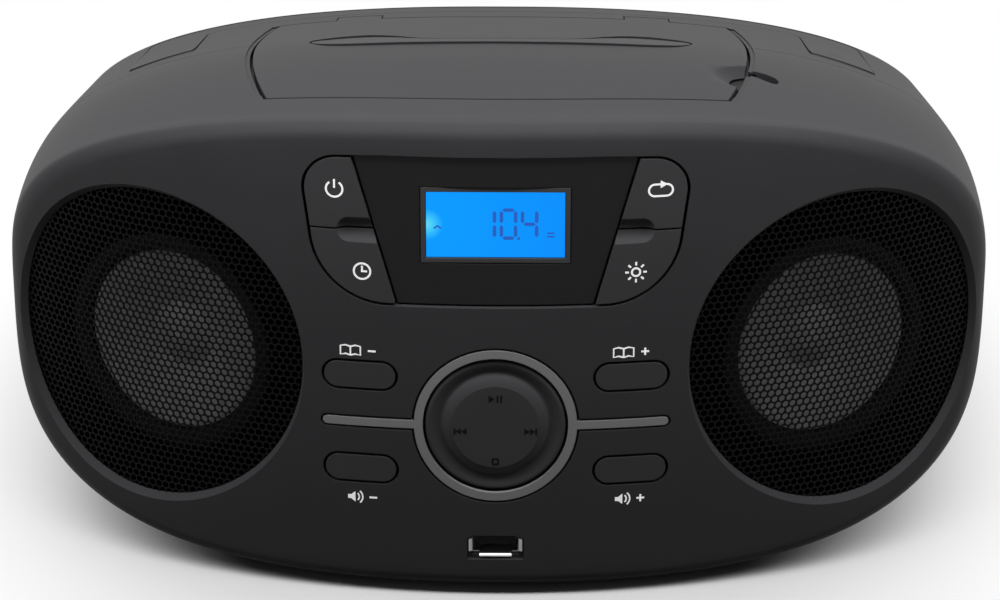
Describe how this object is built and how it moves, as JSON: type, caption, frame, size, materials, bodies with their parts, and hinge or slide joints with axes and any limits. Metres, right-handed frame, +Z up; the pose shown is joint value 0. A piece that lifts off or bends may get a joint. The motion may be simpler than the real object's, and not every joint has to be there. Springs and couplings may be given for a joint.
{
  "type": "boombox",
  "caption": "Portable boombox in dark grey plastic with a disc lid, round speakers, a blue display, a folding handle and a telescopic aerial.",
  "frame": {"origin": "centre of the outer box, on the plane that the feet stand on", "axes": "+X to the right seen from the front, +Y from the face to the back, +Z up"},
  "size_m": [0.29, 0.2296, 0.141],
  "materials": {
    "case_black": "fine satin texture",
    "tray_black": "matte",
    "grille_black": "satin black paint",
    "window_black": "high gloss",
    "display_blue": "lit from behind",
    "trim_grey": "satin metallic grey",
    "cone_grey": "pressed paper",
    "soft_black": "matte",
    "bright_metal": "bright",
    "aerial_chrome": "polished",
    "board_green": "solder resist",
    "white_plastic": "satin",
    "inner_grey": "matte",
    "lens_clear": "coated lens"
  },
  "bodies": {
    "cabinet": {"front_cabinet": "case_black", "rear_cabinet": "case_black", "cd_deck": "tray_black", "lid_hinge_pins": "bright_metal", "mechanism_chassis": "bright_metal", "mount_grommets": "soft_black", "drive_motors": "bright_metal", "guide_rods": "bright_metal", "handle_pivot_pins": "bright_metal", "left_grille": "grille_black", "right_grille": "grille_black", "left_speaker_frame": "grille_black", "right_speaker_frame": "grille_black", "speaker_surrounds": "soft_black", "speaker_magnets": "grille_black", "speaker_screws": "bright_metal", "display_window": "window_black", "lcd_frame": "tray_black", "lcd_glass": "display_blue", "lcd_backlight": "white_plastic", "trim_ring": "trim_grey", "pad_post": "inner_grey", "control_board": "board_green", "key_switches": "tray_black", "board_screws": "bright_metal", "usb_shell": "bright_metal", "usb_tongue": "white_plastic", "usb_board": "board_green", "main_board": "board_green", "board_parts": "tray_black", "transformer": "bright_metal", "ac_inlet": "tray_black", "jack_socket": "tray_black", "battery_contacts": "bright_metal", "rubber_feet": "soft_black", "cabinet_screws": "bright_metal"},
    "lid": {"cd_lid": "case_black"},
    "carry_handle": {"handle": "case_black"},
    "pad_pivot": {"pad_hub": "inner_grey"},
    "pad": {"four_way_pad": "case_black"},
    "left_cone": {"left_speaker_cone": "cone_grey"},
    "right_cone": {"right_speaker_cone": "cone_grey"},
    "spindle": {"spindle_hub": "white_plastic"},
    "sled": {"optical_pickup": "tray_black", "pickup_lens": "lens_clear"},
    "gear": {"sled_gear": "white_plastic"},
    "door": {"battery_door": "case_black"},
    "aerial_foot": {"aerial_base": "aerial_chrome"},
    "aerial_wide": {"aerial_tube": "aerial_chrome"},
    "aerial_mid": {"aerial_middle": "aerial_chrome"},
    "aerial_thin": {"aerial_rod": "aerial_chrome"},
    "power_key_body": {"power_key": "case_black"},
    "clock_key_body": {"clock_key": "case_black"},
    "mode_key_body": {"mode_key": "case_black"},
    "lamp_key_body": {"lamp_key": "case_black"},
    "folder_down_button_body": {"folder_down_button": "case_black"},
    "folder_up_button_body": {"folder_up_button": "case_black"},
    "volume_down_button_body": {"volume_down_button": "case_black"},
    "volume_up_button_body": {"volume_up_button": "case_black"}
  },
  "joints": [
    {"name": "lid_opens", "type": "hinge", "parent": "cabinet", "child": "lid", "pos_m": [0, 0.07282, 0.10098], "axis": [-1, 0, 0], "range_deg": [0, 60]},
    {"name": "handle_lifts", "type": "hinge", "parent": "cabinet", "child": "carry_handle", "pos_m": [0, 0.03882, 0.10271], "axis": [1, 0, 0], "range_deg": [0, 90]},
    {"name": "power_key_press", "type": "slide", "parent": "cabinet", "child": "power_key_body", "axis": [0, 0.9986, -0.0523], "range_m": [0, 0.0012], "stiffness_N_per_m": 350, "springref_m": -0.0008},
    {"name": "clock_key_press", "type": "slide", "parent": "cabinet", "child": "clock_key_body", "axis": [0, 0.9986, -0.0523], "range_m": [0, 0.0012], "stiffness_N_per_m": 350, "springref_m": -0.0008},
    {"name": "mode_key_press", "type": "slide", "parent": "cabinet", "child": "mode_key_body", "axis": [0, 0.9986, -0.0523], "range_m": [0, 0.0012], "stiffness_N_per_m": 350, "springref_m": -0.0008},
    {"name": "lamp_key_press", "type": "slide", "parent": "cabinet", "child": "lamp_key_body", "axis": [0, 0.9986, -0.0523], "range_m": [0, 0.0012], "stiffness_N_per_m": 350, "springref_m": -0.0008},
    {"name": "folder_down_button_press", "type": "slide", "parent": "cabinet", "child": "folder_down_button_body", "axis": [0, 0.9986, -0.0523], "range_m": [0, 0.0012], "stiffness_N_per_m": 350, "springref_m": -0.0008},
    {"name": "folder_up_button_press", "type": "slide", "parent": "cabinet", "child": "folder_up_button_body", "axis": [0, 0.9986, -0.0523], "range_m": [0, 0.0012], "stiffness_N_per_m": 350, "springref_m": -0.0008},
    {"name": "volume_down_button_press", "type": "slide", "parent": "cabinet", "child": "volume_down_button_body", "axis": [0, 0.9986, -0.0523], "range_m": [0, 0.0012], "stiffness_N_per_m": 350, "springref_m": -0.0008},
    {"name": "volume_up_button_press", "type": "slide", "parent": "cabinet", "child": "volume_up_button_body", "axis": [0, 0.9986, -0.0523], "range_m": [0, 0.0012], "stiffness_N_per_m": 350, "springref_m": -0.0008},
    {"name": "pad_tilts_up_down", "type": "hinge", "parent": "cabinet", "child": "pad_pivot", "pos_m": [0, -0.10442, 0.05251], "axis": [1, 0, 0], "range_deg": [-2.5, 2.5], "stiffness_Nm_per_rad": 0.4},
    {"name": "pad_tilts_left_right", "type": "hinge", "parent": "pad_pivot", "child": "pad", "pos_m": [0, -0.10442, 0.05251], "axis": [0, 0.0523, 0.9986], "range_deg": [-2.5, 2.5], "stiffness_Nm_per_rad": 0.4},
    {"name": "left_cone_moves", "type": "slide", "parent": "cabinet", "child": "left_cone", "axis": [-0.4382, -0.8977, 0.047], "range_m": [-0.001, 0.001], "stiffness_N_per_m": 900},
    {"name": "right_cone_moves", "type": "slide", "parent": "cabinet", "child": "right_cone", "axis": [0.4382, -0.8977, 0.047], "range_m": [-0.001, 0.001], "stiffness_N_per_m": 900},
    {"name": "disc_turns", "type": "hinge", "parent": "cabinet", "child": "spindle", "pos_m": [0, -0.00318, 0.11], "axis": [0, 0.1908, 0.9816], "continuous": true},
    {"name": "pickup_tracks", "type": "slide", "parent": "cabinet", "child": "sled", "axis": [0, 0.9816, -0.1908], "range_m": [0, 0.031]},
    {"name": "sled_gear_turns", "type": "hinge", "parent": "cabinet", "child": "gear", "pos_m": [0.0317, 0.03821, 0.08973], "axis": [0, -0.1908, -0.9816], "range_deg": [0, 278.53]},
    {"name": "battery_door_opens", "type": "hinge", "parent": "cabinet", "child": "door", "pos_m": [0, 0.11372, 0.0202], "axis": [-1, 0, 0], "range_deg": [0, 100]},
    {"name": "aerial_swings", "type": "hinge", "parent": "cabinet", "child": "aerial_foot", "pos_m": [0.092, 0.11007, 0.0822], "axis": [0, 0, -1], "range_deg": [0, 90]},
    {"name": "aerial_rises", "type": "hinge", "parent": "aerial_foot", "child": "aerial_wide", "pos_m": [0.092, 0.11007, 0.0822], "axis": [0, 1, 0], "range_deg": [0, 95]},
    {"name": "aerial_draws", "type": "slide", "parent": "aerial_wide", "child": "aerial_mid", "axis": [-1, 0, 0], "range_m": [0, 0.098]},
    {"name": "aerial_tip_draws", "type": "slide", "parent": "aerial_mid", "child": "aerial_thin", "axis": [-1, 0, 0], "range_m": [0, 0.098]}
  ],
  "couplings": [
    {"joint": "sled_gear_turns", "follows": "pickup_tracks", "rad_per_m": 156.25},
    {"joint": "aerial_tip_draws", "follows": "aerial_draws", "ratio": 1}
  ]
}
